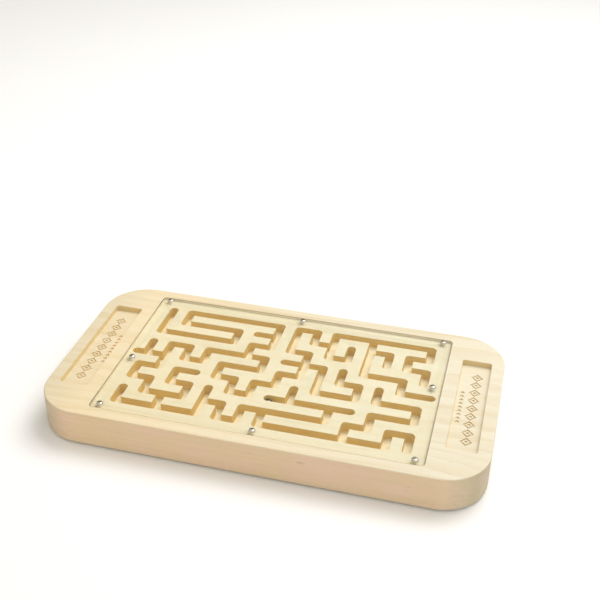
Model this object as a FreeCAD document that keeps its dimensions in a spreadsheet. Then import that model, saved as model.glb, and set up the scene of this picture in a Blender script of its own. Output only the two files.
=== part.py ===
import FreeCAD
import Part
import Sketcher
import math
import os

# Double-sided tilt maze: a milled wooden slab with the same channel maze in its top and its bottom
# face, a clear acrylic cover screwed into a rebate over each maze, and one steel ball in each.
# Frame: origin under the slab's centre, on the plane that the lowest screw heads touch. +X runs
# along the long side, +Y along the short side, +Z out of the front (top) face. Millimetres.

SIZES = (
    ("slab_length", 300),
    ("slab_width", 157),
    ("slab_thickness", 25),
    ("slab_corner_radius", 31),
    ("edge_rounding", 1),
    ("cell_pitch", 14),
    ("channel_width", 6.3),
    ("channel_depth", 7.5),
    ("rebate_length", 222.2),
    ("rebate_width", 139.2),
    ("rebate_depth", 3),
    ("rebate_corner_radius", 3.2),
    ("cover_thickness", 3),
    ("cover_gap", 0.5),
    ("cover_shift", 0.25),
    ("finger_pocket_length", 98),
    ("finger_pocket_width", 20.4),
    ("finger_pocket_depth", 4),
    ("finger_pocket_corner_radius", 1.6),
    ("finger_pocket_middle", 131),
    ("engraving_depth", 0.8),
    ("screw_spread_long", 104.5),
    ("screw_spread_short", 65.2),
    ("side_screw_shift", 10.6),
    ("screw_length", 10),
    ("screw_tip_length", 2.5),
    ("shank_diameter", 2.2),
    ("pilot_diameter", 2.3),
    ("cover_hole_diameter", 3),
    ("head_diameter", 4.6),
    ("head_height", 1.7),
    ("head_rim_height", 0.5),
    ("head_flat_diameter", 1.8),
    ("recess_span", 2.6),
    ("recess_slot_width", 0.7),
    ("recess_depth", 1),
    ("ball_diameter", 5.8),
    ("ball_clearance", 0.1),
    ("ball_overrun", 0.1),
)

# Plan of the channels' centre lines. Characters are half a cell apart, o is the middle of a cell,
# and the two channels that stick out at the sides are the start and the finish.
CHANNEL_PLAN = (
    " o o-o-o-o-o-o o-o o-o-o-o-o-o ",
    " | |         | | | |   |     | ",
    " o o-o-o-o o-o o o-o o o-o o-o ",
    " |       |   | |   | | | | |   ",
    " o-o-o-o-o o-o o-o o-o o o o-o ",
    "           |     |     |     | ",
    " o o-o o-o-o-o o-o-o o o-o-o o ",
    " | | | |     |   | | |     |   ",
    "-o-o o-o o-o-o o-o o o-o o o-o-",
    "   |     |     |   |   | |     ",
    " o-o o-o o-o o-o o o-o-o o-o-o ",
    " |   |     | |   |           | ",
    " o-o o-o o o-o o-o-o-o-o o-o-o ",
    "   |   | |           |   |     ",
    " o o-o-o o-o o-o-o-o-o o-o o-o ",
    " |   |   | | | |       |   | | ",
    " o-o-o-o-o o-o o-o-o-o-o-o-o o ",
)

# Cells where the balls lie at rest, counted from the maze's middle cell.
FRONT_BALL_CELL = (0, -2)
BACK_BALL_CELL = (4, 1)

# Ornament in the floor of the finger pockets: a row of large lozenge rings, each with a small
# lozenge in it, and a row of small lozenges beside it. All of it is in millimetres.
LOZENGE_COUNT = 9
LOZENGE_PITCH = 8.7
LOZENGE_SIZE = 8.2
LOZENGE_ROW_SHIFT = 1.6
RING_INSIDE = 0.64
RING_CENTRE = 0.32
DOT_COUNT = 9
DOT_PITCH = 4
DOT_SIZE = 3.2
DOT_ROW_SHIFT = -6.4

# Limits for comparing volumes in cubic millimetres, lengths in millimetres and shares of a whole.
TINY_VOLUME = 0.01
TINY_LENGTH = 0.01
TINY_SHARE = 1e-6

doc = FreeCAD.newDocument("tilt_maze")
sheet = doc.addObject("Spreadsheet::Sheet", "sizes")
for row, (alias, number) in enumerate(SIZES, start=1):
    sheet.set(f"A{row}", alias)
    sheet.set(f"B{row}", str(number))
    sheet.setAlias(f"B{row}", alias)
doc.recompute()


def size(alias):
    """Number that the spreadsheet holds under this alias."""
    return float(sheet.get(alias))


def new_body(label):
    """Empty PartDesign body with its own name and label."""
    body = doc.addObject("PartDesign::Body", label)
    body.Label = label
    return body


def origin_plane(body, role):
    """Origin plane of the body that has this role."""
    for feature in body.Origin.OriginFeatures:
        if feature.Role == role:
            return feature
    raise ValueError(f"{body.Label} has no {role}")


def new_sketch(body, name, role="XY_Plane", height=None):
    """Sketch on an origin plane of the body, lifted along the plane's normal by an expression."""
    sketch = body.newObject("Sketcher::SketchObject", name)
    sketch.AttachmentSupport = (origin_plane(body, role), "")
    sketch.MapMode = "FlatFace"
    if height:
        sketch.setExpression("AttachmentOffset.Base.z", height)
    return sketch


def bind(sketch, constraint, name, expression):
    """Adds a dimension to the sketch, names it and binds it to an expression."""
    index = sketch.addConstraint(constraint)
    sketch.renameConstraint(index, name)
    sketch.setExpression(f"Constraints.{name}", expression)


def rounded_rectangle(sketch, prefix, start, bindings):
    """Closed outline of four lines and four tangent arcs, centred on a bound point.

    start gives length, width, radius and middle to draw it with; bindings gives their expressions.
    """
    length, width, radius, middle = start
    half_x = length / 2
    half_y = width / 2
    flat_x = half_x - radius
    flat_y = half_y - radius
    corners = ((1, -1), (1, 1), (-1, 1), (-1, -1))
    ends = (
        ((-flat_x, -half_y), (flat_x, -half_y)),
        ((half_x, -flat_y), (half_x, flat_y)),
        ((flat_x, half_y), (-flat_x, half_y)),
        ((-half_x, flat_y), (-half_x, -flat_y)),
    )
    shapes = []
    for (x0, y0), (x1, y1) in ends:
        first = FreeCAD.Vector(middle + x0, y0, 0)
        last = FreeCAD.Vector(middle + x1, y1, 0)
        shapes.append(Part.LineSegment(first, last))
    for quarter, (side_x, side_y) in enumerate(corners):
        centre = FreeCAD.Vector(middle + side_x * flat_x, side_y * flat_y, 0)
        circle = Part.Circle(centre, FreeCAD.Vector(0, 0, 1), radius)
        start_angle = (quarter - 1) * math.pi / 2
        shapes.append(Part.ArcOfCircle(circle, start_angle, start_angle + math.pi / 2))
    first_id = sketch.addGeometry(shapes, False)[0]
    lines = [first_id + step for step in range(4)]
    arcs = [first_id + 4 + step for step in range(4)]
    for step in range(4):
        next_line = lines[(step + 1) % 4]
        sketch.addConstraint(Sketcher.Constraint("Tangent", lines[step], 2, arcs[step], 1))
        sketch.addConstraint(Sketcher.Constraint("Tangent", arcs[step], 2, next_line, 1))
    for line in (lines[0], lines[2]):
        sketch.addConstraint(Sketcher.Constraint("Horizontal", line))
    for line in (lines[1], lines[3]):
        sketch.addConstraint(Sketcher.Constraint("Vertical", line))
    for arc in arcs[1:]:
        sketch.addConstraint(Sketcher.Constraint("Equal", arcs[0], arc))
    point = sketch.addGeometry(Part.Point(FreeCAD.Vector(middle, 0, 0)), True)
    sketch.addConstraint(Sketcher.Constraint("Symmetric", lines[0], 1, lines[2], 1, point, 1))
    sketch.addConstraint(Sketcher.Constraint("PointOnObject", point, 1, -1))
    names = ("length", "width", "radius", "middle")
    constraints = (
        Sketcher.Constraint("DistanceX", lines[3], 1, lines[1], 1, length),
        Sketcher.Constraint("DistanceY", lines[0], 1, lines[2], 1, width),
        Sketcher.Constraint("Radius", arcs[0], radius),
        Sketcher.Constraint("DistanceX", -1, 1, point, 1, middle),
    )
    for name, constraint in zip(names, constraints):
        bind(sketch, constraint, f"{prefix}_{name}", bindings[name])


def screw_places():
    """Expressions for the middles of one cover's eight screws."""
    far_x = "sizes.screw_spread_long"
    far_y = "sizes.screw_spread_short"
    side_y = "sizes.side_screw_shift"
    return (
        (f"-{far_x}", far_y),
        ("0", far_y),
        (far_x, far_y),
        (far_x, side_y),
        (far_x, f"-{far_y}"),
        ("0", f"-{far_y}"),
        (f"-{far_x}", f"-{far_y}"),
        (f"-{far_x}", f"-{side_y}"),
    )


def number_of(expression):
    """Value of a place written as an optional minus sign and one alias, or 0."""
    if expression == "0":
        return 0.0
    sign = -1 if expression.startswith("-") else 1
    return sign * size(expression.lstrip("-").split(".")[1])


def screw_circles(sketch, diameter):
    """Eight circles at the screws' places, all of one bound diameter."""
    first_circle = None
    for number, (place_x, place_y) in enumerate(screw_places(), start=1):
        centre = FreeCAD.Vector(number_of(place_x), number_of(place_y), 0)
        circle = Part.Circle(centre, FreeCAD.Vector(0, 0, 1), size(diameter) / 2)
        index = sketch.addGeometry(circle, False)
        if place_x == "0":
            sketch.addConstraint(Sketcher.Constraint("PointOnObject", index, 3, -2))
        else:
            across = Sketcher.Constraint("DistanceX", -1, 1, index, 3, centre.x)
            bind(sketch, across, f"screw_{number}_x", place_x)
        along = Sketcher.Constraint("DistanceY", -1, 1, index, 3, centre.y)
        bind(sketch, along, f"screw_{number}_y", place_y)
        if first_circle is None:
            first_circle = index
            width = Sketcher.Constraint("Diameter", index, size(diameter))
            bind(sketch, width, "screw_hole", f"sizes.{diameter}")
        else:
            sketch.addConstraint(Sketcher.Constraint("Equal", first_circle, index))


def channel_outline():
    """Lines and arcs round all the channels: a walk along their centre lines, wall on the right.

    The channels have no loops, so one closed outline goes round all of them. It has a square
    inner corner at each right turn and an arc round the cell's middle at each left turn or end.
    """
    middle_x = (len(CHANNEL_PLAN[0]) - 1) // 2
    middle_y = (len(CHANNEL_PLAN) - 1) // 2
    points = {
        (column - middle_x, middle_y - line)
        for line, text in enumerate(CHANNEL_PLAN)
        for column, mark in enumerate(text)
        if mark != " "
    }
    half_cell = size("cell_pitch") / 2
    reach = size("channel_width") / 2
    start = (min(points), (1, 0))
    spot, heading = start
    corners = []
    while True:
        dx, dy = heading
        spot = (spot[0] + dx, spot[1] + dy)
        centre = FreeCAD.Vector(spot[0] * half_cell, spot[1] * half_cell, 0)
        right = FreeCAD.Vector(dy, -dx, 0)
        quarter_turns = {(dy, -dx): -1, (dx, dy): 0, (-dy, dx): 1, (-dx, -dy): 2}
        for way, quarters in quarter_turns.items():
            if (spot[0] + way[0], spot[1] + way[1]) in points:
                break
        if quarters == -1:
            along = FreeCAD.Vector(dx, dy, 0)
            inner = centre + (right - along) * reach
            corners.append((inner, inner, None))
        elif quarters > 0:
            circle = Part.Circle(centre, FreeCAD.Vector(0, 0, 1), reach)
            first_angle = math.atan2(right.y, right.x)
            last_angle = first_angle + quarters * math.pi / 2
            arc = Part.ArcOfCircle(circle, first_angle, last_angle)
            corners.append((arc.StartPoint, arc.EndPoint, arc))
        heading = way
        if (spot, heading) == start:
            break
    shapes = []
    for (_, leave, arc), (arrive, _, _) in zip(corners, corners[1:] + corners[:1]):
        if arc:
            shapes.append(arc)
        shapes.append(Part.LineSegment(leave, arrive))
    return shapes


def lozenge(centre_x, centre_y, across):
    """Four lines round a lozenge."""
    reach = across / 2
    tips = [
        FreeCAD.Vector(centre_x + reach, centre_y, 0),
        FreeCAD.Vector(centre_x, centre_y + reach, 0),
        FreeCAD.Vector(centre_x - reach, centre_y, 0),
        FreeCAD.Vector(centre_x, centre_y - reach, 0),
    ]
    return [Part.LineSegment(tips[step], tips[(step + 1) % 4]) for step in range(4)]


def ornament_outlines():
    """Outlines of the ornament in both finger pockets, the second one turned half way round."""
    shapes = []
    for side in (-1, 1):
        ring_x = side * (size("finger_pocket_middle") + LOZENGE_ROW_SHIFT)
        dot_x = side * (size("finger_pocket_middle") + DOT_ROW_SHIFT)
        for step in range(LOZENGE_COUNT):
            ring_y = side * (step - (LOZENGE_COUNT - 1) / 2) * LOZENGE_PITCH
            for share in (1, RING_INSIDE, RING_CENTRE):
                shapes += lozenge(ring_x, ring_y, LOZENGE_SIZE * share)
        for step in range(DOT_COUNT):
            dot_y = side * (step - (DOT_COUNT - 1) / 2) * DOT_PITCH
            shapes += lozenge(dot_x, dot_y, DOT_SIZE)
    return shapes


def cut(body, name, sketch, depth):
    """Pocket that goes down from the sketch. It has to take material away."""
    before = body.Shape.Volume
    pocket = body.newObject("PartDesign::Pocket", name)
    pocket.Profile = sketch
    pocket.Refine = False
    pocket.setExpression("Length", depth)
    sketch.Visibility = False
    doc.recompute()
    if before - body.Shape.Volume < TINY_VOLUME:
        raise ValueError(f"{name} cuts nothing")
    return pocket


def make_wooden_body():
    """Slab with rounded corners and eased edges, milled the same way from both faces."""
    body = new_body("wooden_body")
    top = "sizes.slab_thickness / 2"
    rebate_floor = f"{top} - sizes.rebate_depth"

    outline = new_sketch(body, "slab_outline")
    rounded_rectangle(
        outline,
        "slab",
        (size("slab_length"), size("slab_width"), size("slab_corner_radius"), 0),
        {
            "length": "sizes.slab_length",
            "width": "sizes.slab_width",
            "radius": "sizes.slab_corner_radius",
            "middle": "0",
        },
    )
    slab = body.newObject("PartDesign::Pad", "slab")
    slab.Profile = outline
    slab.Midplane = True
    slab.setExpression("Length", "sizes.slab_thickness")
    doc.recompute()

    rims = []
    for index, edge in enumerate(slab.Shape.Edges, start=1):
        if edge.BoundBox.ZLength < TINY_LENGTH:
            rims.append(f"Edge{index}")
    eased = body.newObject("PartDesign::Fillet", "eased_edges")
    eased.Base = (slab, rims)
    eased.setExpression("Radius", "sizes.edge_rounding")
    doc.recompute()
    uncut = body.Shape.Volume

    rebate_sketch = new_sketch(body, "rebate_outline", height=top)
    rounded_rectangle(
        rebate_sketch,
        "rebate",
        (size("rebate_length"), size("rebate_width"), size("rebate_corner_radius"), 0),
        {
            "length": "sizes.rebate_length",
            "width": "sizes.rebate_width",
            "radius": "sizes.rebate_corner_radius",
            "middle": "0",
        },
    )
    cuts = [cut(body, "rebate", rebate_sketch, "sizes.rebate_depth")]

    channel_sketch = new_sketch(body, "channel_outline", height=rebate_floor)
    channel_sketch.addGeometry(channel_outline(), False)
    cuts.append(cut(body, "channels", channel_sketch, "sizes.channel_depth"))

    pilot_sketch = new_sketch(body, "pilot_circles", height=rebate_floor)
    screw_circles(pilot_sketch, "pilot_diameter")
    pilot_depth = "sizes.screw_length - sizes.cover_thickness"
    cuts.append(cut(body, "pilot_holes", pilot_sketch, pilot_depth))

    pocket_sketch = new_sketch(body, "finger_pocket_outlines", height=top)
    for name, sign in (("left", "-"), ("right", "")):
        middle = size("finger_pocket_middle") * (-1 if sign else 1)
        rounded_rectangle(
            pocket_sketch,
            name,
            (
                size("finger_pocket_width"),
                size("finger_pocket_length"),
                size("finger_pocket_corner_radius"),
                middle,
            ),
            {
                "length": "sizes.finger_pocket_width",
                "width": "sizes.finger_pocket_length",
                "radius": "sizes.finger_pocket_corner_radius",
                "middle": f"{sign}sizes.finger_pocket_middle",
            },
        )
    cuts.append(cut(body, "finger_pockets", pocket_sketch, "sizes.finger_pocket_depth"))

    pocket_floor = f"{top} - sizes.finger_pocket_depth"
    ornament_sketch = new_sketch(body, "ornament_outlines", height=pocket_floor)
    ornament_sketch.addGeometry(ornament_outlines(), False)
    cuts.append(cut(body, "ornament", ornament_sketch, "sizes.engraving_depth"))

    one_sided = body.Shape.Volume
    both_sides = body.newObject("PartDesign::Mirrored", "both_sides")
    both_sides.Originals = cuts
    both_sides.MirrorPlane = (origin_plane(body, "XY_Plane"), [""])
    both_sides.Refine = False
    body.Tip = both_sides
    doc.recompute()
    expected = 2 * one_sided - uncut
    if abs(body.Shape.Volume - expected) > TINY_SHARE * expected:
        raise ValueError("the two faces of the slab aren't milled alike")

    body.setExpression("Placement.Base.z", "sizes.head_height + sizes.slab_thickness / 2")
    return body


def make_cover(label, height):
    """Clear sheet with eight screw holes, flush with the wood.

    It is pushed towards +X and -Y in its rebate, nearly as far as the screws in its holes allow.
    """
    body = new_body(label)
    outline = new_sketch(body, f"{label}_outline")
    gap = size("cover_gap")
    rounded_rectangle(
        outline,
        "cover",
        (
            size("rebate_length") - 2 * gap,
            size("rebate_width") - 2 * gap,
            size("rebate_corner_radius") - gap,
            0,
        ),
        {
            "length": "sizes.rebate_length - 2 * sizes.cover_gap",
            "width": "sizes.rebate_width - 2 * sizes.cover_gap",
            "radius": "sizes.rebate_corner_radius - sizes.cover_gap",
            "middle": "0",
        },
    )
    screw_circles(outline, "cover_hole_diameter")
    plate = body.newObject("PartDesign::Pad", f"{label}_plate")
    plate.Profile = outline
    plate.setExpression("Length", "sizes.cover_thickness")
    body.setExpression("Placement.Base.x", "sizes.cover_shift")
    body.setExpression("Placement.Base.y", "-sizes.cover_shift")
    body.setExpression("Placement.Base.z", height)
    return body


def make_screw(label, place, height, turned):
    """Round-head wood screw with a cross recess. Its head stands on the plane z = 0 and faces +Z."""
    body = new_body(label)
    shank = size("shank_diameter") / 2
    head = size("head_diameter") / 2
    rim = size("head_rim_height")
    flat = size("head_flat_diameter") / 2
    crown = size("head_height")
    length = size("screw_length")
    tip = size("screw_tip_length")

    profile = new_sketch(body, f"{label}_profile", "XZ_Plane")
    point = FreeCAD.Vector
    corners = (
        point(flat, crown, 0),
        point(0, crown, 0),
        point(0, -length, 0),
        point(shank, tip - length, 0),
        point(shank, 0, 0),
        point(head, 0, 0),
        point(head, rim, 0),
    )
    lines = [Part.LineSegment(a, b) for a, b in zip(corners, corners[1:])]
    # The dome runs from the rim up to the flat of the crown, and is tangent to it.
    drop = crown - rim
    spread = head - flat
    radius = (spread * spread + drop * drop) / (2 * drop)
    centre = point(flat, crown - radius, 0)
    circle = Part.Circle(centre, point(0, 0, 1), radius)
    dome = Part.ArcOfCircle(circle, math.atan2(rim - centre.y, spread), math.pi / 2)
    profile.addGeometry(lines + [dome], False)
    links = [(step, 2, step + 1, 1) for step in range(6)]
    for link in links:
        profile.addConstraint(Sketcher.Constraint("Coincident", *link))
    profile.addConstraint(Sketcher.Constraint("Tangent", 6, 2, 0, 1))
    for line in (0, 4):
        profile.addConstraint(Sketcher.Constraint("Horizontal", line))
    for line in (1, 3, 5):
        profile.addConstraint(Sketcher.Constraint("Vertical", line))
    profile.addConstraint(Sketcher.Constraint("PointOnObject", 1, 1, -2))
    profile.addConstraint(Sketcher.Constraint("PointOnObject", 4, 1, -1))
    dimensions = (
        ("crown", "DistanceY", (-1, 1, 1, 1), crown, "sizes.head_height"),
        ("flat", "DistanceX", (-1, 1, 0, 1), flat, "sizes.head_flat_diameter / 2"),
        ("length", "DistanceY", (1, 2, -1, 1), length, "sizes.screw_length"),
        ("tip", "DistanceY", (2, 1, 2, 2), tip, "sizes.screw_tip_length"),
        ("shank", "DistanceX", (-1, 1, 3, 1), shank, "sizes.shank_diameter / 2"),
        ("head", "DistanceX", (-1, 1, 5, 1), head, "sizes.head_diameter / 2"),
        ("rim", "DistanceY", (5, 1, 5, 2), rim, "sizes.head_rim_height"),
    )
    for name, kind, ends, number, expression in dimensions:
        bind(profile, Sketcher.Constraint(kind, *ends, number), name, expression)
    turning = body.newObject("PartDesign::Revolution", f"{label}_turning")
    turning.Profile = profile
    turning.ReferenceAxis = (profile, ["V_Axis"])
    turning.Angle = 360
    doc.recompute()

    recess = new_sketch(body, f"{label}_recess_outline", height="sizes.head_height")
    arm = size("recess_span") / 2
    half = size("recess_slot_width") / 2
    quarter = ((arm, -half), (arm, half), (half, half))
    tips = []
    for turn in range(4):
        for x, y in quarter:
            for _ in range(turn):
                x, y = -y, x
            tips.append(point(x, y, 0))
    cross = [Part.LineSegment(a, b) for a, b in zip(tips, tips[1:] + tips[:1])]
    recess.addGeometry(cross, False)
    cut(body, f"{label}_recess", recess, "sizes.recess_depth")

    if turned:
        body.Placement = FreeCAD.Placement(point(), FreeCAD.Rotation(point(1, 0, 0), 180))
    body.setExpression("Placement.Base.x", place[0])
    body.setExpression("Placement.Base.y", place[1])
    body.setExpression("Placement.Base.z", height)
    return body


def make_ball(label, place, height):
    """Steel ball at a place given by expressions for its middle."""
    ball = doc.addObject("Part::Sphere", label)
    ball.Label = label
    ball.setExpression("Radius", "sizes.ball_diameter / 2")
    ball.setExpression("Placement.Base.x", place[0])
    ball.setExpression("Placement.Base.y", place[1])
    ball.setExpression("Placement.Base.z", height)
    return ball


def make_parts():
    """Every piece of the game, in place."""
    parts = [make_wooden_body()]
    back_seat = "sizes.head_height"
    front_seat = "sizes.head_height + sizes.slab_thickness"
    parts.append(make_cover("front_cover", f"{front_seat} - sizes.cover_thickness"))
    parts.append(make_cover("back_cover", back_seat))
    for side, seat, turned in (("front", front_seat, False), ("back", back_seat, True)):
        for number, place in enumerate(screw_places(), start=1):
            parts.append(make_screw(f"{side}_screw_{number}", place, seat, turned))

    resting = "sizes.ball_clearance + sizes.ball_diameter / 2"
    column, line = FRONT_BALL_CELL
    front_place = (
        f"{column} * sizes.cell_pitch - sizes.ball_overrun",
        f"{line} * sizes.cell_pitch",
    )
    channel_floor = f"{front_seat} - sizes.rebate_depth - sizes.channel_depth"
    parts.append(make_ball("front_ball", front_place, f"{channel_floor} + {resting}"))
    column, line = BACK_BALL_CELL
    back_place = (
        f"{column} * sizes.cell_pitch",
        f"{line} * sizes.cell_pitch - sizes.ball_overrun",
    )
    cover_top = f"{back_seat} + sizes.cover_thickness"
    parts.append(make_ball("back_ball", back_place, f"{cover_top} + {resting}"))
    return parts


def check_all(parts):
    """Stops if any object failed or any piece isn't one valid solid."""
    for item in doc.Objects:
        if "Invalid" in item.State or "Error" in item.State:
            raise ValueError(f"{item.Label} failed: {item.State}")
    for part in parts:
        shape = part.Shape
        if shape.isNull() or not shape.isValid() or len(shape.Solids) != 1:
            raise ValueError(f"{part.Label} isn't one valid solid")


all_parts = make_parts()
doc.recompute()
check_all(all_parts)
os.makedirs("parts", exist_ok=True)
for piece in all_parts:
    piece.Shape.exportStep(f"parts/{piece.Label}.step")
    box = piece.Shape.optimalBoundingBox()
    print(
        f"{piece.Label}: {piece.Shape.Volume:.1f} mm3,"
        f" x {box.XMin:.2f}..{box.XMax:.2f},"
        f" y {box.YMin:.2f}..{box.YMax:.2f},"
        f" z {box.ZMin:.2f}..{box.ZMax:.2f}"
    )
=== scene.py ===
import math

import bmesh
import bpy
from mathutils import Matrix, Vector


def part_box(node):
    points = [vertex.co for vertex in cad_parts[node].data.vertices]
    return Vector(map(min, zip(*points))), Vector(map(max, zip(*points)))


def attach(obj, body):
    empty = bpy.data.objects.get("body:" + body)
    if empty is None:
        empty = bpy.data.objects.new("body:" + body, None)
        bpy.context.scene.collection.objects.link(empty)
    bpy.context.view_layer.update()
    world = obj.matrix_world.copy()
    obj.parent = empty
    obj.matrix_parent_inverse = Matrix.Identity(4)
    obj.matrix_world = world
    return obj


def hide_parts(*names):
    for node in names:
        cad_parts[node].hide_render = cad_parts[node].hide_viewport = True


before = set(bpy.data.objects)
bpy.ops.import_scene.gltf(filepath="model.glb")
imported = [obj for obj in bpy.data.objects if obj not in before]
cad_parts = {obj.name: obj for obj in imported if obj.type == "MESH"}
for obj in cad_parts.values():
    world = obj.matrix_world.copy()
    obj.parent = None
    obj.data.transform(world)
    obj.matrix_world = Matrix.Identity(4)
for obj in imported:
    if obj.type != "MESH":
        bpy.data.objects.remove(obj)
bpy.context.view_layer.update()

# Double-sided wooden tilt maze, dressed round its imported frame. Everything is in metres, in the
# frame's own axes: +X along the slab's long side, +Z out of the front face.

MM = 0.001
SLAB_LOW, SLAB_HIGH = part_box("wooden_body")
COVER_LOW, COVER_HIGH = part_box("front_cover")
SLAB_MIDDLE_Z = (SLAB_LOW.z + SLAB_HIGH.z) / 2
SIDES = ("front", "back")
SCREWS_PER_SIDE = 8

# Half sizes of the two regions of milled walls, from the slab's middle: the maze under its cover,
# and the strip that both finger pockets lie in. Their walls take painted shade. The regions end
# softly over a short distance.
MAZE_REACH_X = (COVER_HIGH.x - COVER_LOW.x) / 2 - 1 * MM
MAZE_REACH_Y = (COVER_HIGH.y - COVER_LOW.y) / 2 - 1 * MM
POCKET_REACH_X = SLAB_HIGH.x - 7 * MM
POCKET_REACH_Y = 51 * MM
REGION_SOFTNESS = 0.5 * MM

# Height of the channels' floors over the slab's middle plane, and the height where the painted
# light that lifts them has ended
CHANNEL_FLOOR_LIGHT = (2 * MM, 3 * MM)
FINGER_POCKET_DEPTH = 4 * MM

# Widths of the eased edges, and how far a corner turns to be eased or to be shaded as sharp
MOUTH_EASE = 0.3 * MM
ORNAMENT_EASE = 0.1 * MM
COVER_EASE = 0.2 * MM
EASED_DEGREES = 50
SHARP_DEGREES = 22

# Limits for reading the CAD meshes: points that are one, faces that are one, edges that are level,
# the milled corners that run down a wall, and the sawn sides of a cover
JOIN_DISTANCE = 1e-6
FLAT_DEGREES = 0.5
LEVEL_TOLERANCE = 0.02 * MM
WALL_CORNER_LEAST = 5 * MM
SHEET_RIM = 4 * MM
SIDE_NORMAL_MOST = 0.5
SIDE_FACE_LEAST = 0.1 * MM * MM

# Camera, floor and key lamp
CAMERA_PLACE = (0.14752, -0.53142, 0.43546)
CAMERA_RIGHT = (0.96779, 0.25147, 0.01234)
CAMERA_UP = (-0.1448, 0.51583, 0.84436)
CAMERA_BACK = (0.20597, -0.81895, 0.53563)
CAMERA_LENS = 59.577
SENSOR_WIDTH = 36
FLOOR_HALF = 4
KEY_PLACE = (0.3, 0.5, 1.05)
KEY_SIZE = 0.8
KEY_POWER = 10

# Soft light from all round. It is dimmer within a cone round DIM_WAY, whose edges are given as
# cosines, and it changes a little in strength and colour from the left to the right.
SKY_STRENGTH = 0.78
SKY_DIMMED = 0.3
DIM_WAY = (-0.2, 0.82, 0.54)
DIM_COSINES = (0.62, 0.93)
SKY_SPAN = (-0.8, 0.8)
SKY_LEFT_SHARE = 0.9
SKY_RIGHT_SHARE = 1.1
SKY_LEFT = (1.0, 0.93, 0.80, 1)
SKY_RIGHT = (1, 1, 1, 1)


# ---------------------------------------------------------------- node trees


def node(tree, kind, inputs=None, **settings):
    """Adds a node. inputs maps a socket's name or number to a value or to another node's socket."""
    made = tree.nodes.new(kind)
    for key, value in settings.items():
        setattr(made, key, value)
    for key, value in (inputs or {}).items():
        if isinstance(value, bpy.types.NodeSocket):
            tree.links.new(value, made.inputs[key])
        else:
            made.inputs[key].default_value = value
    return made


def new_material(name):
    """Empty node material, its tree, and the object's own coordinates in it."""
    material = bpy.data.materials.new(name)
    material.use_nodes = True
    tree = material.node_tree
    tree.nodes.clear()
    return material, tree, node(tree, "ShaderNodeTexCoord").outputs["Object"]


def calc(tree, operation, first, second=0.0, clamp=False):
    """Math node's result."""
    inputs = {0: first, 1: second}
    made = node(tree, "ShaderNodeMath", inputs, operation=operation, use_clamp=clamp)
    return made.outputs[0]


def vector_calc(tree, operation, first, second):
    """Vector math node's result, for operations that give a vector."""
    inputs = {0: first, 1: second}
    return node(tree, "ShaderNodeVectorMath", inputs, operation=operation).outputs[0]


def spread(tree, value, window, to_low=0.0, to_high=1.0):
    """Value taken from this window to another range, and held inside it."""
    inputs = {0: value, 1: window[0], 2: window[1], 3: to_low, 4: to_high}
    return node(tree, "ShaderNodeMapRange", inputs, clamp=True).outputs[0]


def blend(tree, factor, first, second, how="MIX"):
    """Two colours mixed."""
    inputs = {0: factor, 6: first, 7: second}
    made = node(tree, "ShaderNodeMix", inputs, data_type="RGBA", blend_type=how)
    return made.outputs[2]


def noise(tree, vector, scale=1.0, detail=3.0, roughness=0.5):
    """Noise texture's value."""
    inputs = {"Vector": vector, "Scale": scale, "Detail": detail, "Roughness": roughness}
    return node(tree, "ShaderNodeTexNoise", inputs).outputs[0]


def stretched(tree, vector, scale, shift=(0, 0, 0)):
    """Coordinates scaled, and shifted first, axis by axis."""
    return vector_calc(tree, "MULTIPLY", vector_calc(tree, "ADD", vector, shift), scale)


def opposite(point):
    """Shift that takes this point to the origin."""
    return tuple(-value for value in point)


def within(tree, across, along, reach_x, reach_y):
    """1 where both distances from the slab's middle are inside these limits, 0 outside."""
    in_x = spread(tree, across, (reach_x, reach_x + REGION_SOFTNESS), 1.0, 0.0)
    in_y = spread(tree, along, (reach_y, reach_y + REGION_SOFTNESS), 1.0, 0.0)
    return calc(tree, "MULTIPLY", in_x, in_y)


def bumps(tree, height, strength, distance):
    """Normal roughened by a height."""
    inputs = {"Height": height, "Strength": strength, "Distance": distance}
    return node(tree, "ShaderNodeBump", inputs).outputs[0]


def output(tree, shader):
    """Ends the tree in this shader."""
    node(tree, "ShaderNodeOutputMaterial", {"Surface": shader})


def principled(tree, inputs):
    """Principled shader with these inputs."""
    return node(tree, "ShaderNodeBsdfPrincipled", inputs).outputs[0]


# ---------------------------------------------------------------- wood

# The sanded faces, from the palest wood to the deepest grain
WOOD_PALE = (0.87, 0.77, 0.57, 1)
WOOD_DEEP = (0.76, 0.61, 0.37, 1)
# The sawn rim, with patches of blush and thin streaks
WOOD_SIDE = (0.73, 0.53, 0.32, 1)
WOOD_BLUSH = (0.77, 0.53, 0.375, 1)
WOOD_STREAK = (0.64, 0.46, 0.26, 1)
# The pale level faces under the covers, with painted light on the channels' floors, and the walls
# that the cutter left, deepened by painted shade
WOOD_PALER_AND_FLOOR_LIGHT = (1.0, 0.90, 0.62, 1)
WOOD_MILLED_AND_SHADE = (0.83, 0.55, 0.085, 1)
# Pores and the fleck
WOOD_DARK = (0.33, 0.19, 0.09, 1)
# Factors on the colour: painted light along the board, painted shade at its left end, and on end
# grain its own darker tone with painted shade
WARM_PAINTED_LIGHT = (0.98, 0.95, 0.89, 1)
COOL_PAINTED_LIGHT = (0.895, 0.945, 1.02, 1)
LEFT_END_PAINTED_SHADE = (0.89, 0.925, 0.98, 1)
END_GRAIN_AND_SHADE = (0.72, 0.79, 0.77, 1)

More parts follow.
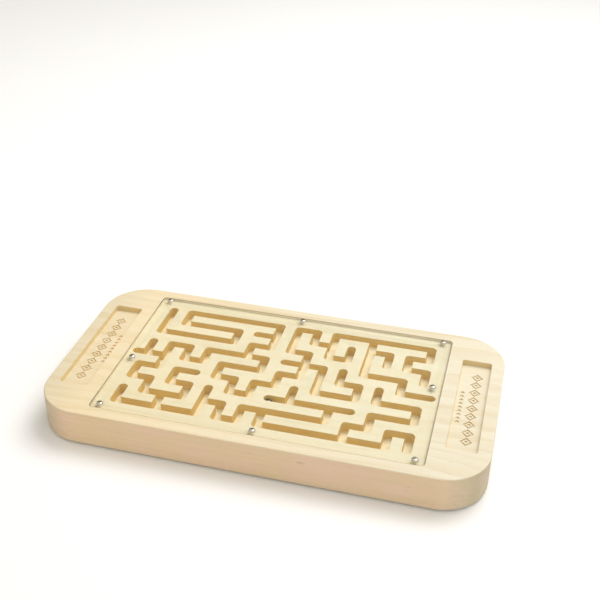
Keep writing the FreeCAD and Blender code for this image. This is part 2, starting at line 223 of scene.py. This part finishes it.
# Scales of the patterns along X, Y and Z, shifts between them, and the windows of their noise
SWAY_SCALE = (4, 16, 16)
BROAD_SCALE = (7, 160, 160)
FINE_SCALE = (25, 1300, 1300)
PORE_SCALE = (170, 1900, 1900)
CLOUD_SCALE = (9, 22, 30)
BLUSH_SCALE = (34, 60, 90)
STREAK_SCALE = (16, 420, 420)
BLUSH_SHIFT = (0.3, 0, 0)
STREAK_SHIFT = (0, 0.1, 0)
FIBRE_WINDOW = (0.35, 0.75)
PORE_WINDOW = (0.68, 0.78)
CLOUD_WINDOW = (0.4, 0.7)
BLUSH_WINDOW = (0.42, 0.62)
STREAK_WINDOW = (0.45, 0.7)
MIDDLE_WINDOW = (0.3, 0.7)
NOISE_MIDDLE = 0.5

# Growth rings round a pith: how far they wander, how uneven they are, how sharply each one ends
PITH = (0, 0.03, 0.22)
RING_SCALE = 95.0
RING_SWAY = (0.0, 0.016, 0.016)
RING_DISTORTION = 0.6
RING_SHARPNESS = 2.2

# How much each pattern deepens the grain
RING_GRAIN = 0.36
BROAD_GRAIN = 0.42
FINE_GRAIN = 0.22
CLOUD_GRAIN = 0.2

# The painted light along the board, slanted and uneven, and the reach of the left end's painted
# shade
LIGHT_BAND_SLANT = 0.4
LIGHT_BAND_UNEVEN = 0.08
LIGHT_BAND_WINDOW = (-0.09, 0.14)
LEFT_END_SHADE_WINDOW = (-0.146, -0.12)

# Upright and end-on faces by their normals, and how strongly each region takes its colour
UPRIGHT_WINDOW = (0.3, 0.8)
END_WINDOW = (0.2, 0.8)
RIM_AMOUNT = 0.75
STREAK_AMOUNT = 0.5
UNDER_COVER_AMOUNT = 0.4
FLOOR_PAINTED_LIGHT = 0.55
POCKET_WALL_SHADE = 0.5
MILLED_SHADE_LEAST = 0.54
MILLED_SHADE_MOST = 0.78
PORE_AMOUNT = 0.3

# One fleck in the long side: its place, how narrow it is, how ragged, how large and how strong
FLECK = (0.0352, -0.0785, 0.0196)
FLECK_SHAPE = (1, 2.6, 2.6)
FLECK_RAGGED = 2 * MM
FLECK_WINDOW = (1.2 * MM, 3.6 * MM)
FLECK_AMOUNT = 0.3

# Relief of the grain, and its shine
FINE_HEIGHT = 0.7
PORE_HEIGHT = 0.8
RING_HEIGHT = 0.25
WOOD_BUMP = 0.25
WOOD_BUMP_DISTANCE = 0.12 * MM
WOOD_ROUGH_LEAST = 0.5
WOOD_ROUGH_MOST = 0.68
WOOD_IOR = 1.45


def wood_patterns(tree, place):
    """Growth rings, fibres along X at two widths, short dark pores and soft clouds."""
    inputs = {"Vector": stretched(tree, place, SWAY_SCALE), "Scale": 1.0, "Detail": 2.0}
    sway = node(tree, "ShaderNodeTexNoise", inputs).outputs["Color"]
    sway = vector_calc(tree, "MULTIPLY", sway, RING_SWAY)
    swayed = vector_calc(tree, "ADD", place, sway)
    inputs = {
        "Vector": stretched(tree, swayed, (1, 1, 1), opposite(PITH)),
        "Scale": RING_SCALE,
        "Distortion": RING_DISTORTION,
        "Detail": 2.0,
    }
    rings = node(
        tree,
        "ShaderNodeTexWave",
        inputs,
        wave_type="RINGS",
        rings_direction="X",
        wave_profile="SAW",
    ).outputs["Fac"]
    rings = calc(tree, "POWER", rings, RING_SHARPNESS)
    broad = noise(tree, stretched(tree, swayed, BROAD_SCALE))
    fine = noise(tree, stretched(tree, place, FINE_SCALE), detail=2.0, roughness=0.6)
    pores = noise(tree, stretched(tree, place, PORE_SCALE), detail=1.0)
    pores = spread(tree, pores, PORE_WINDOW)
    clouds = noise(tree, stretched(tree, place, CLOUD_SCALE), detail=2.0)
    return rings, broad, fine, pores, clouds


def wood():
    """Pale sanded softwood with a deeper sawn rim and warm milled walls deepened by painted shade,
    painted light along the board and on the channels' floors, and painted shade at the left end and
    on end grain.
    """
    material, tree, place = new_material("pale_wood")
    axes = node(tree, "ShaderNodeSeparateXYZ", {0: place}).outputs
    normal = node(tree, "ShaderNodeNewGeometry").outputs["Normal"]
    facing = node(tree, "ShaderNodeSeparateXYZ", {0: normal}).outputs
    rings, broad, fine, pores, clouds = wood_patterns(tree, place)

    grain = calc(tree, "MULTIPLY", rings, RING_GRAIN)
    grain = calc(tree, "ADD", grain, spread(tree, broad, FIBRE_WINDOW, 0.0, BROAD_GRAIN))
    grain = calc(tree, "ADD", grain, spread(tree, fine, FIBRE_WINDOW, 0.0, FINE_GRAIN))
    cloudy = spread(tree, clouds, CLOUD_WINDOW, 0.0, CLOUD_GRAIN)
    grain = calc(tree, "ADD", grain, cloudy, clamp=True)
    colour = blend(tree, grain, WOOD_PALE, WOOD_DEEP)

    # Painted light: the board turns slowly from warm light at its left end to cooler light at its
    # back right corner.
    light_band = calc(tree, "ADD", axes["X"], calc(tree, "MULTIPLY", axes["Y"], LIGHT_BAND_SLANT))
    light_band = calc(tree, "ADD", light_band, calc(tree, "MULTIPLY", clouds, LIGHT_BAND_UNEVEN))
    light_band = blend(tree, spread(tree, light_band, LIGHT_BAND_WINDOW), WARM_PAINTED_LIGHT, COOL_PAINTED_LIGHT)
    colour = blend(tree, 1.0, colour, light_band, "MULTIPLY")

    # Upright faces are the sawn and sanded rim outside and the milled walls inside.
    upright = calc(tree, "ABSOLUTE", facing["Z"])
    upright = spread(tree, upright, UPRIGHT_WINDOW, 1.0, 0.0)
    across = calc(tree, "ABSOLUTE", axes["X"])
    along = calc(tree, "ABSOLUTE", axes["Y"])
    maze = within(tree, across, along, MAZE_REACH_X, MAZE_REACH_Y)
    pockets = within(tree, across, along, POCKET_REACH_X, POCKET_REACH_Y)
    inside = calc(tree, "MAXIMUM", maze, pockets)

    rim = calc(tree, "MULTIPLY", upright, calc(tree, "SUBTRACT", 1.0, inside))
    blush = noise(tree, stretched(tree, place, BLUSH_SCALE, BLUSH_SHIFT), detail=2.0)
    side = blend(tree, spread(tree, blush, BLUSH_WINDOW), WOOD_SIDE, WOOD_BLUSH)
    streaks = noise(tree, stretched(tree, place, STREAK_SCALE, STREAK_SHIFT), roughness=0.6)
    streaks = spread(tree, streaks, STREAK_WINDOW, 0.0, STREAK_AMOUNT)
    side = blend(tree, streaks, side, WOOD_STREAK)
    colour = blend(tree, calc(tree, "MULTIPLY", rim, RIM_AMOUNT), colour, side)

    # Level faces under a cover are paler. Painted light lifts the channels' floors further, in the
    # warm colour of light bounced off the walls.
    level_under_cover = calc(tree, "MULTIPLY", maze, calc(tree, "SUBTRACT", 1.0, upright))
    pale = calc(tree, "MULTIPLY", level_under_cover, UNDER_COVER_AMOUNT)
    colour = blend(tree, pale, colour, WOOD_PALER_AND_FLOOR_LIGHT)
    floor_light = calc(tree, "ABSOLUTE", calc(tree, "SUBTRACT", axes["Z"], SLAB_MIDDLE_Z))
    floor_light = spread(tree, floor_light, CHANNEL_FLOOR_LIGHT, FLOOR_PAINTED_LIGHT, 0.0)
    colour = blend(tree, calc(tree, "MULTIPLY", level_under_cover, floor_light), colour, WOOD_PALER_AND_FLOOR_LIGHT)

    # Painted shade: milled walls keep a warmer tone of their own and are deepened to the orange of
    # shaded channel walls. The pockets' walls take half as much.
    wall_shade = calc(tree, "MAXIMUM", maze, calc(tree, "MULTIPLY", pockets, POCKET_WALL_SHADE))
    wall_tone_and_shade = spread(tree, fine, MIDDLE_WINDOW, MILLED_SHADE_LEAST, MILLED_SHADE_MOST)
    wall_tone_and_shade = calc(tree, "MULTIPLY", wall_shade, wall_tone_and_shade)
    colour = blend(tree, calc(tree, "MULTIPLY", upright, wall_tone_and_shade), colour, WOOD_MILLED_AND_SHADE)

    # Painted shade: the left end is a shade deeper, as though less light reaches it. End grain has
    # its own darker tone, and painted shade darkens the end faces further.
    left_shade = spread(tree, axes["X"], LEFT_END_SHADE_WINDOW, 1.0, 0.0)
    colour = blend(tree, left_shade, colour, LEFT_END_PAINTED_SHADE, "MULTIPLY")
    ends = calc(tree, "MULTIPLY", calc(tree, "ABSOLUTE", facing["X"]), rim)
    colour = blend(tree, spread(tree, ends, END_WINDOW), colour, END_GRAIN_AND_SHADE, "MULTIPLY")
    colour = blend(tree, calc(tree, "MULTIPLY", pores, PORE_AMOUNT), colour, WOOD_DARK)

    gap = stretched(tree, place, FLECK_SHAPE, opposite(FLECK))
    far = node(tree, "ShaderNodeVectorMath", {0: gap}, operation="LENGTH").outputs["Value"]
    ragged = calc(tree, "MULTIPLY", calc(tree, "SUBTRACT", fine, NOISE_MIDDLE), FLECK_RAGGED)
    mark = spread(tree, calc(tree, "ADD", far, ragged), FLECK_WINDOW, FLECK_AMOUNT, 0.0)
    colour = blend(tree, mark, colour, WOOD_DARK)

    height = calc(tree, "MULTIPLY", fine, FINE_HEIGHT)
    height = calc(tree, "SUBTRACT", height, calc(tree, "MULTIPLY", pores, PORE_HEIGHT))
    height = calc(tree, "ADD", height, calc(tree, "MULTIPLY", rings, RING_HEIGHT))
    inputs = {
        "Base Color": colour,
        "Roughness": spread(tree, broad, MIDDLE_WINDOW, WOOD_ROUGH_LEAST, WOOD_ROUGH_MOST),
        "Normal": bumps(tree, height, WOOD_BUMP, WOOD_BUMP_DISTANCE),
        "IOR": WOOD_IOR,
    }
    output(tree, principled(tree, inputs))
    return material


# ---------------------------------------------------------------- clear sheets, steel and floor

# The polished faces of the clear sheets
ACRYLIC_IOR = 1.49
ACRYLIC_TINT = (0.975, 0.99, 0.985, 1)
ACRYLIC_WORN = (0.96, 0.98, 0.975, 1)
ACRYLIC_THROUGH = (0.985, 0.99, 0.985, 1)
SCUFF_SCALE = (60, 900, 60)
DUST_SCALE = 2600.0
SCUFF_WINDOW = (0.62, 0.8)
DUST_WINDOW = (0.7, 0.8)
POLISHED_ROUGH = 0.012
SCUFF_ROUGH = 0.06
DUST_ROUGH = 0.05

# The sawn sides of the clear sheets, coloured with a painted reflection of the wood round them
EDGE_WOOD_REFLECTION_DEEP = (0.86, 0.79, 0.57, 1)
EDGE_WOOD_REFLECTION_PALE = (0.94, 0.89, 0.71, 1)
EDGE_WOOD_REFLECTION_CLOUD = (0.78, 0.71, 0.50, 1)
SAW_MARK_SCALE = (1700, 1700, 120)
CUT_CLOUD_SCALE = 70.0
CUT_CLOUD_AMOUNT = 0.4
CUT_BUMP = 0.4
CUT_BUMP_DISTANCE = 0.03 * MM
CUT_ROUGH_LEAST = 0.35
CUT_ROUGH_MOST = 0.6

# The screws
NICKEL_BRIGHT = (0.74, 0.70, 0.60, 1)
NICKEL_DULL = (0.57, 0.54, 0.45, 1)
SPOT_SCALE = 900.0
SPOT_WINDOW = (0.3, 0.75)
GRIT_SCALE = 6000.0
GRIT_BUMP = 0.2
GRIT_BUMP_DISTANCE = 0.02 * MM
NICKEL_ROUGH_LEAST = 0.16
NICKEL_ROUGH_MOST = 0.34

# The balls, darkened and warmed by painted shade and a painted reflection of the orange walls
BALL_PAINTED_BRIGHT = (0.20, 0.165, 0.12, 1)
BALL_PAINTED_DARK = (0.12, 0.10, 0.07, 1)
BALL_SCUFF_SCALE = 1400.0
BALL_SCUFF_WINDOW = (0.4, 0.75)
BALL_ROUGH_LEAST = 0.08
BALL_ROUGH_MOST = 0.25

# The studio floor
FLOOR_PALE = (0.97, 0.97, 0.97, 1)
FLOOR_MOTTLED = (0.94, 0.94, 0.94, 1)
MOTTLE_SCALE = 8.0
FLOOR_ROUGH = 0.8


def acrylic():
    """Clear polished sheet with faint scuffs and dust. Shadow and diffuse rays go straight on."""
    material, tree, place = new_material("clear_acrylic_sheet")
    scuffs = noise(tree, stretched(tree, place, SCUFF_SCALE), detail=4.0, roughness=0.7)
    dust = noise(tree, place, DUST_SCALE, detail=2.0)
    scuffed = spread(tree, scuffs, SCUFF_WINDOW, POLISHED_ROUGH, SCUFF_ROUGH)
    dusty = spread(tree, dust, DUST_WINDOW, 0.0, DUST_ROUGH)
    inputs = {
        "Base Color": blend(tree, scuffs, ACRYLIC_TINT, ACRYLIC_WORN),
        "Roughness": calc(tree, "ADD", scuffed, dusty),
        "IOR": ACRYLIC_IOR,
        "Transmission Weight": 1.0,
    }
    glass = principled(tree, inputs)
    through = node(tree, "ShaderNodeBsdfTransparent", {"Color": ACRYLIC_THROUGH}).outputs[0]
    path = node(tree, "ShaderNodeLightPath").outputs
    for kind in ("Is Shadow Ray", "Is Diffuse Ray"):
        inputs = {0: path[kind], 1: glass, 2: through}
        glass = node(tree, "ShaderNodeMixShader", inputs).outputs[0]
    output(tree, glass)
    return material


def acrylic_edge_painted_wood():
    """Sawn side of the sheet: frosted, with upright saw marks. Its wood colour is a painted
    reflection of the wood that a clear edge shows.
    """
    material, tree, place = new_material("acrylic_edge_painted_wood")
    marks = noise(tree, stretched(tree, place, SAW_MARK_SCALE), roughness=0.6)
    cloud = noise(tree, place, CUT_CLOUD_SCALE, detail=2.0)
    cloud = calc(tree, "MULTIPLY", cloud, CUT_CLOUD_AMOUNT)
    colour = blend(tree, marks, EDGE_WOOD_REFLECTION_DEEP, EDGE_WOOD_REFLECTION_PALE)
    inputs = {
        "Base Color": blend(tree, cloud, colour, EDGE_WOOD_REFLECTION_CLOUD),
        "Roughness": spread(tree, marks, MIDDLE_WINDOW, CUT_ROUGH_LEAST, CUT_ROUGH_MOST),
        "IOR": ACRYLIC_IOR,
        "Normal": bumps(tree, marks, CUT_BUMP, CUT_BUMP_DISTANCE),
    }
    output(tree, principled(tree, inputs))
    return material


def plated_steel():
    """Nickel-plated screw: bright, with fine turning marks and dull spots."""
    material, tree, place = new_material("nickel_plated_steel")
    spots = noise(tree, place, SPOT_SCALE, roughness=0.6)
    grit = noise(tree, place, GRIT_SCALE, detail=2.0)
    inputs = {
        "Base Color": blend(tree, spots, NICKEL_BRIGHT, NICKEL_DULL),
        "Metallic": 1.0,
        "Roughness": spread(tree, spots, SPOT_WINDOW, NICKEL_ROUGH_LEAST, NICKEL_ROUGH_MOST),
        "Normal": bumps(tree, grit, GRIT_BUMP, GRIT_BUMP_DISTANCE),
    }
    output(tree, principled(tree, inputs))
    return material


def ball_steel():
    """Polished bearing steel with light scuffs from rolling. Its dark warm colour is painted shade
    and a painted reflection of the orange channel walls.
    """
    material, tree, place = new_material("polished_ball_steel")
    scuffs = noise(tree, place, BALL_SCUFF_SCALE, detail=4.0, roughness=0.65)
    inputs = {
        "Base Color": blend(tree, scuffs, BALL_PAINTED_BRIGHT, BALL_PAINTED_DARK),
        "Metallic": 1.0,
        "Roughness": spread(tree, scuffs, BALL_SCUFF_WINDOW, BALL_ROUGH_LEAST, BALL_ROUGH_MOST),
    }
    output(tree, principled(tree, inputs))
    return material


def paper():
    """Pale studio floor with a trace of texture."""
    material, tree, place = new_material("pale_floor")
    mottle = noise(tree, place, MOTTLE_SCALE, detail=4.0)
    colour = blend(tree, mottle, FLOOR_PALE, FLOOR_MOTTLED)
    output(tree, principled(tree, {"Base Color": colour, "Roughness": FLOOR_ROUGH}))
    return material


# ---------------------------------------------------------------- pieces


def added(name, data):
    """New object in the scene."""
    made = bpy.data.objects.new(name, data)
    bpy.context.scene.collection.objects.link(made)
    return made


def joined(cad_name):
    """Bmesh of a CAD node with its split points joined and its flat faces whole again."""
    shape = bmesh.new()
    shape.from_mesh(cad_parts[cad_name].data)
    bmesh.ops.remove_doubles(shape, verts=shape.verts, dist=JOIN_DISTANCE)
    bmesh.ops.dissolve_limit(
        shape,
        angle_limit=math.radians(FLAT_DEGREES),
        verts=shape.verts,
        edges=shape.edges,
        delimit=set(),
    )
    return shape


def convex_edges(shape):
    """Outer corners of a bmesh that turn far enough to be eased."""
    least = math.radians(EASED_DEGREES)
    return [
        edge
        for edge in shape.edges
        if edge.is_manifold and edge.is_convex and edge.calc_face_angle() > least
    ]


def ease(shape, edges, width, segments=2):
    """Rounds these edges over."""
    bmesh.ops.bevel(
        shape,
        geom=edges,
        offset=width,
        offset_type="OFFSET",
        segments=segments,
        profile=0.5,
        affect="EDGES",
        clamp_overlap=True,
    )


def placed(shape, piece_name, cad_name, materials):
    """Object made of a bmesh. It moves with the case and stands for a CAD node.

    It is shaded smooth inside its rounded faces and sharp at its corners.
    """
    sharp = math.radians(SHARP_DEGREES)
    for face in shape.faces:
        face.smooth = True
    for edge in shape.edges:
        edge.smooth = edge.is_manifold and edge.calc_face_angle() < sharp
    mesh = bpy.data.meshes.new(piece_name)
    shape.to_mesh(mesh)
    shape.free()
    for material in materials:
        mesh.materials.append(material)
    piece = added(piece_name, mesh)
    piece.modifiers.new("flat_faces", "WEIGHTED_NORMAL").keep_sharp = True
    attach(piece, "case")
    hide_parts(cad_name)
    return piece


def level(edge, heights):
    """True if the whole edge lies at one of these heights."""
    return any(
        all(abs(corner.co.z - height) < LEVEL_TOLERANCE for corner in edge.verts)
        for height in heights
    )


def wooden_slab(material):
    """The slab with its milled edges lightly broken."""
    shape = joined("wooden_body")
    rebate_depth = SLAB_HIGH.z - COVER_LOW.z
    mouth_depths = (0, rebate_depth)
    mouth_levels = [SLAB_LOW.z + depth for depth in mouth_depths]
    mouth_levels += [SLAB_HIGH.z - depth for depth in mouth_depths]
    ornament_levels = (SLAB_LOW.z + FINGER_POCKET_DEPTH, SLAB_HIGH.z - FINGER_POCKET_DEPTH)
    mouths = []
    ornament = []
    for edge in convex_edges(shape):
        rise = abs(edge.verts[0].co.z - edge.verts[1].co.z)
        if level(edge, ornament_levels):
            ornament.append(edge)
        elif level(edge, mouth_levels) or rise > WALL_CORNER_LEAST:
            mouths.append(edge)
    ease(shape, ornament, ORNAMENT_EASE, 1)
    ease(shape, [edge for edge in mouths if edge.is_valid], MOUTH_EASE)
    placed(shape, "wooden_slab", "wooden_body", [material])


def clear_sheet(side, material, edge_painted_wood_material):
    """One cover with its corners broken and its four sawn sides frosted, in a painted reflection of
    the wood.
    """
    cad_name = f"{side}_cover"
    shape = joined(cad_name)
    ease(shape, convex_edges(shape), COVER_EASE)
    low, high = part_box(cad_name)
    materials = [material, edge_painted_wood_material]
    piece = placed(shape, f"{side}_clear_sheet", cad_name, materials)
    for face in piece.data.polygons:
        at_x = min(face.center.x - low.x, high.x - face.center.x) < SHEET_RIM
        at_y = min(face.center.y - low.y, high.y - face.center.y) < SHEET_RIM
        upright = abs(face.normal.z) < SIDE_NORMAL_MOST
        if upright and (at_x or at_y) and face.area > SIDE_FACE_LEAST:
            face.material_index = 1


def dress(cad_name, material):
    """Gives a CAD node a better material."""
    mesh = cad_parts[cad_name].data
    mesh.materials.clear()
    mesh.materials.append(material)


# ---------------------------------------------------------------- stage


def floor(material):
    """Large pale floor that the lowest screw heads stand on."""
    half = FLOOR_HALF
    corners = [(-half, -half, 0), (half, -half, 0), (half, half, 0), (-half, half, 0)]
    mesh = bpy.data.meshes.new("floor")
    mesh.from_pydata(corners, [], [(0, 1, 2, 3)])
    mesh.materials.append(material)
    added("floor", mesh)


def key_lamp():
    """Square area lamp aimed at the slab's middle."""
    data = bpy.data.lights.new("key", "AREA")
    data.shape = "SQUARE"
    data.size = KEY_SIZE
    data.energy = KEY_POWER
    lamp = added("key", data)
    lamp.location = KEY_PLACE
    aim = Vector((0, 0, SLAB_MIDDLE_Z)) - Vector(KEY_PLACE)
    lamp.rotation_euler = aim.to_track_quat("-Z", "Y").to_euler()


def camera():
    """Camera above the front right of the slab."""
    data = bpy.data.cameras.new("camera")
    data.lens = CAMERA_LENS
    data.sensor_width = SENSOR_WIDTH
    made = added("camera", data)
    turn = Matrix((CAMERA_RIGHT, CAMERA_UP, CAMERA_BACK)).transposed()
    made.matrix_world = Matrix.Translation(CAMERA_PLACE) @ turn.normalized().to_4x4()
    bpy.context.scene.camera = made


def sky():
    """Soft light from all round, dimmer round one direction, and dimmer and warmer at the left."""
    world = bpy.data.worlds.new("studio")
    world.use_nodes = True
    tree = world.node_tree
    tree.nodes.clear()
    way = node(tree, "ShaderNodeTexCoord").outputs["Generated"]
    inputs = {0: way, 1: Vector(DIM_WAY).normalized()}
    near = node(tree, "ShaderNodeVectorMath", inputs, operation="DOT_PRODUCT").outputs["Value"]
    strength = spread(tree, near, DIM_COSINES, SKY_STRENGTH, SKY_DIMMED)
    sideways = node(tree, "ShaderNodeSeparateXYZ", {0: way}).outputs["X"]
    share = spread(tree, sideways, SKY_SPAN, SKY_LEFT_SHARE, SKY_RIGHT_SHARE)
    colour = blend(tree, spread(tree, sideways, SKY_SPAN), SKY_LEFT, SKY_RIGHT)
    inputs = {"Color": colour, "Strength": calc(tree, "MULTIPLY", strength, share)}
    glow = node(tree, "ShaderNodeBackground", inputs)
    node(tree, "ShaderNodeOutputWorld", {"Surface": glow.outputs[0]})
    bpy.context.scene.world = world


wooden_slab(wood())
clear = acrylic()
edge_painted_wood = acrylic_edge_painted_wood()
plated = plated_steel()
steel = ball_steel()
for side in SIDES:
    clear_sheet(side, clear, edge_painted_wood)
    dress(f"{side}_ball", steel)
    for number in range(1, SCREWS_PER_SIDE + 1):
        dress(f"{side}_screw_{number}", plated)

floor(paper())
camera()
sky()
key_lamp()
bpy.context.scene.view_settings.view_transform = "Standard"
